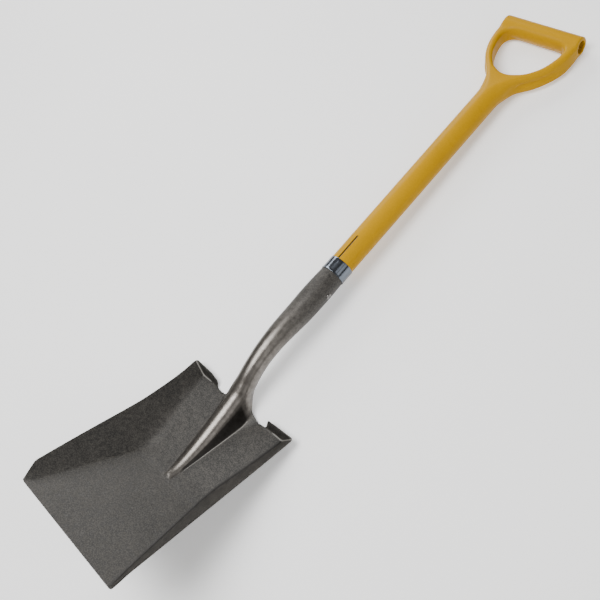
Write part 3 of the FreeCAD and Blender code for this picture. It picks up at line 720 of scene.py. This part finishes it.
# ---------------------------------------------------------------------------------------------
# Socket rivet: a steel rivet through the socket, the core and the dowel, with a low head that is
# dimpled by the setting tool on each side.
# ---------------------------------------------------------------------------------------------
RIVET_Y, RIVET_Z = -30.0, 0.0
SHANK, HEAD, HEAD_AT, HEAD_TOP = 2.5, 4.75, 19.9, 21.85
AROUND = 64
head_profile = [(0.7, HEAD_TOP - 1.33), (1.4, HEAD_TOP - 1.15), (1.9, HEAD_TOP - 0.6),
                (2.2, HEAD_TOP - 0.15), (2.55, HEAD_TOP), (3.1, HEAD_TOP - 0.1),
                (3.9, HEAD_TOP - 0.55), (4.5, HEAD_TOP - 1.2), (HEAD, HEAD_AT + 0.1),
                (HEAD - 0.1, HEAD_AT - 0.25), (4.0, HEAD_AT - 0.5), (SHANK + 0.2, HEAD_AT - 0.5),
                (SHANK, HEAD_AT - 0.8), (SHANK, 0.0)]
half_points = [(HEAD_TOP - 1.35, 0, 0)]
for radius, x in head_profile:
    for turn in range(AROUND):
        angle = 2 * math.pi * turn / AROUND
        half_points.append((x, radius * math.cos(angle), radius * math.sin(angle)))
half_faces = []
for turn in range(AROUND):
    following = (turn + 1) % AROUND
    half_faces.append((0, 1 + turn, 1 + following))
    for ring in range(len(head_profile) - 1):
        a, b = 1 + ring * AROUND, 1 + (ring + 1) * AROUND
        half_faces.append((a + turn, b + turn, b + following, a + following))

rivet_steel, tree, shader = surface("rivet_steel", 1.0, 0.3)
tree.links.new(ramp(tree, grain(tree, 500, 3),
                    (0.3, (0.13, 0.125, 0.12)), (0.7, (0.27, 0.26, 0.25))),
               shader.inputs["Base Color"])
bump(tree, shader, grain(tree, 900, 2), 0.2, 0.0002)

# the same half rivet is set from each side of the socket, turned about the handle's axis
pairing = bpy.data.node_groups.new("rivet_from_both_sides", "GeometryNodeTree")
pairing.interface.new_socket("Half rivet", in_out="INPUT", socket_type="NodeSocketGeometry")
sides = pairing.interface.new_socket("Sides", in_out="INPUT", socket_type="NodeSocketInt")
turned = pairing.interface.new_socket("Turned", in_out="INPUT", socket_type="NodeSocketFloat")
coated = pairing.interface.new_socket("Finish", in_out="INPUT", socket_type="NodeSocketMaterial")
pairing.interface.new_socket("Rivet", in_out="OUTPUT", socket_type="NodeSocketGeometry")
given, made = pairing.nodes.new("NodeGroupInput"), pairing.nodes.new("NodeGroupOutput")
spots = pairing.nodes.new("GeometryNodePoints")
side_number = pairing.nodes.new("GeometryNodeInputIndex")
turn_by = pairing.nodes.new("ShaderNodeMath")
turn_by.operation = "MULTIPLY"
about_axis = pairing.nodes.new("ShaderNodeCombineXYZ")
set_in = pairing.nodes.new("GeometryNodeInstanceOnPoints")
real = pairing.nodes.new("GeometryNodeRealizeInstances")
joined_up = pairing.nodes.new("GeometryNodeMergeByDistance")
coat = pairing.nodes.new("GeometryNodeSetMaterial")
for start, end in ((given.outputs["Sides"], spots.inputs["Count"]),
                   (side_number.outputs[0], turn_by.inputs[0]),
                   (given.outputs["Turned"], turn_by.inputs[1]),
                   (turn_by.outputs[0], about_axis.inputs["Z"]),
                   (spots.outputs[0], set_in.inputs["Points"]),
                   (given.outputs["Half rivet"], set_in.inputs["Instance"]),
                   (about_axis.outputs[0], set_in.inputs["Rotation"]),
                   (set_in.outputs[0], real.inputs[0]),
                   (real.outputs[0], joined_up.inputs["Geometry"]),
                   (joined_up.outputs[0], coat.inputs["Geometry"]),
                   (given.outputs["Finish"], coat.inputs["Material"]),
                   (coat.outputs[0], made.inputs["Rivet"])):
    pairing.links.new(start, end)
half_rivet = finished("half_rivet", half_points, half_faces, rivet_steel)
setting = half_rivet.modifiers.new("setting", "NODES")
setting.node_group = pairing
setting[sides.identifier] = 2
setting[turned.identifier] = math.pi
setting[coated.identifier] = rivet_steel
evaluated = half_rivet.evaluated_get(bpy.context.evaluated_depsgraph_get())
whole = bpy.data.meshes.new_from_object(evaluated)
rivet_points = at_rest([tuple(v.co + Vector((0, RIVET_Y, RIVET_Z))) for v in whole.vertices])
whole.vertices.foreach_set("co", rivet_points.ravel())
whole.name = "socket_rivet_visual"
rivet = bpy.data.objects.new("socket_rivet_visual", whole)
bpy.context.scene.collection.objects.link(rivet)
bpy.data.objects.remove(half_rivet)
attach(rivet, "root")
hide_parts("socket_rivet")

# ---------------------------------------------------------------------------------------------
# Core and dowel: the pultruded fibreglass tube inside the sleeve, and the ash plug that fills it
# where the rivet goes through. Both keep their CAD shape; only their finish is made here.
# ---------------------------------------------------------------------------------------------
# the core is coloured near-black, far darker than pale fibreglass: painted shade where it shows in
# the slit
glass_and_painted_shade, tree, shader = surface("pultruded_glass_painted_shade", 0.0, 0.45)
tree.links.new(ramp(tree, grain(tree, 700, 4, (1, 0.02, 1)),
                    (0.3, (0.030, 0.028, 0.025)), (0.7, (0.075, 0.070, 0.062))),
               shader.inputs["Base Color"])
bump(tree, shader, grain(tree, 900, 2, (1, 0.02, 1)), 0.3, 0.0003)
ash, tree, shader = surface("ash_wood", 0.0, 0.6)
tree.links.new(ramp(tree, grain(tree, 500, 5, (1, 0.03, 1)),
                    (0.25, (0.42, 0.27, 0.13)), (0.75, (0.68, 0.50, 0.29))),
               shader.inputs["Base Color"])
bump(tree, shader, grain(tree, 700, 3, (1, 0.03, 1)), 0.3, 0.0004)
for node, finish in (("handle_core", glass_and_painted_shade), ("core_dowel", ash)):
    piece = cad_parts[node]
    piece.data.materials.clear()
    piece.data.materials.append(finish)
    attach(piece, "root")

# ---------------------------------------------------------------------------------------------
# Stage: a pale floor under the shovel, a broad soft light above it, one beyond it on the left
# that reaches into the pan, and a wide weak one on the right for the left wall.
# ---------------------------------------------------------------------------------------------
FLOOR_HALF, FLOOR_Z = 9, -0.001
floor_mesh = bpy.data.meshes.new("studio_floor")
floor_mesh.from_pydata([(x * FLOOR_HALF, y * FLOOR_HALF, FLOOR_Z)
                        for x, y in ((-1, -1), (1, -1), (1, 1), (-1, 1))], [], [(0, 1, 2, 3)])
studio_floor = bpy.data.objects.new("studio_floor", floor_mesh)
bpy.context.scene.collection.objects.link(studio_floor)
paper, tree, shader = surface("white_paper", 0.0, 0.9)
paper_white = ramp(tree, grain(tree, 3, 2), (0.3, 0.86), (0.7, 0.88))
tree.links.new(paper_white, shader.inputs["Base Color"])
tree.links.new(paper_white, shader.inputs["Emission Color"])
shader.inputs["Emission Strength"].default_value = 0.42
floor_mesh.materials.append(paper)


def standing(name, data, place, right, up, back):
    """A light or camera at a place, with the directions of its own three axes."""
    holder = bpy.data.objects.new(name, data)
    holder.matrix_world = Matrix([*zip(right, up, back, place), (0, 0, 0, 1)])
    bpy.context.scene.collection.objects.link(holder)
    return holder


def soft_light(name, place, aim, wide, tall, watts):
    """A rectangular light facing a point."""
    lamp = bpy.data.lights.new(name, "AREA")
    lamp.shape, lamp.size, lamp.size_y, lamp.energy = "RECTANGLE", wide, tall, watts
    place, aim = np.array(place, float), np.array(aim, float)
    back = (place - aim) / np.linalg.norm(place - aim)
    side = np.cross((0, 0, 1), back) if abs(back[2]) < 0.99 else np.array([1.0, 0, 0])
    side /= np.linalg.norm(side)
    standing(name, lamp, place, side, np.cross(back, side), back)


soft_light("above", (-0.36, -0.5, 2.3), (0, 0, 0), 1.5, 1.5, 82)
soft_light("far_left", (-1.9, 1.4, 1.2), (0, -0.3, 0), 1.6, 1.2, 46)
soft_light("right", (1.7, -0.1, 1.3), (0, -0.2, 0), 2.0, 1.5, 13)
world = bpy.data.worlds.new("studio")
world.use_nodes = True
world.node_tree.nodes["Background"].inputs["Color"].default_value = (1.0, 0.97, 0.92, 1)
world.node_tree.nodes["Background"].inputs["Strength"].default_value = 0.22
bpy.context.scene.world = world

camera_data = bpy.data.cameras.new("camera")
camera_data.lens, camera_data.sensor_width = 45.32, 36.0
to_right, looking = np.array([0.684, 0.634, -0.360]), np.array([-0.565, 0.147, -0.812])
looking /= np.linalg.norm(looking)
to_right -= to_right @ looking * looking
to_right /= np.linalg.norm(to_right)
bpy.context.scene.camera = standing("camera", camera_data, (0.6214, -0.2464, 0.9555),
                                    to_right, np.cross(to_right, looking), -looking)
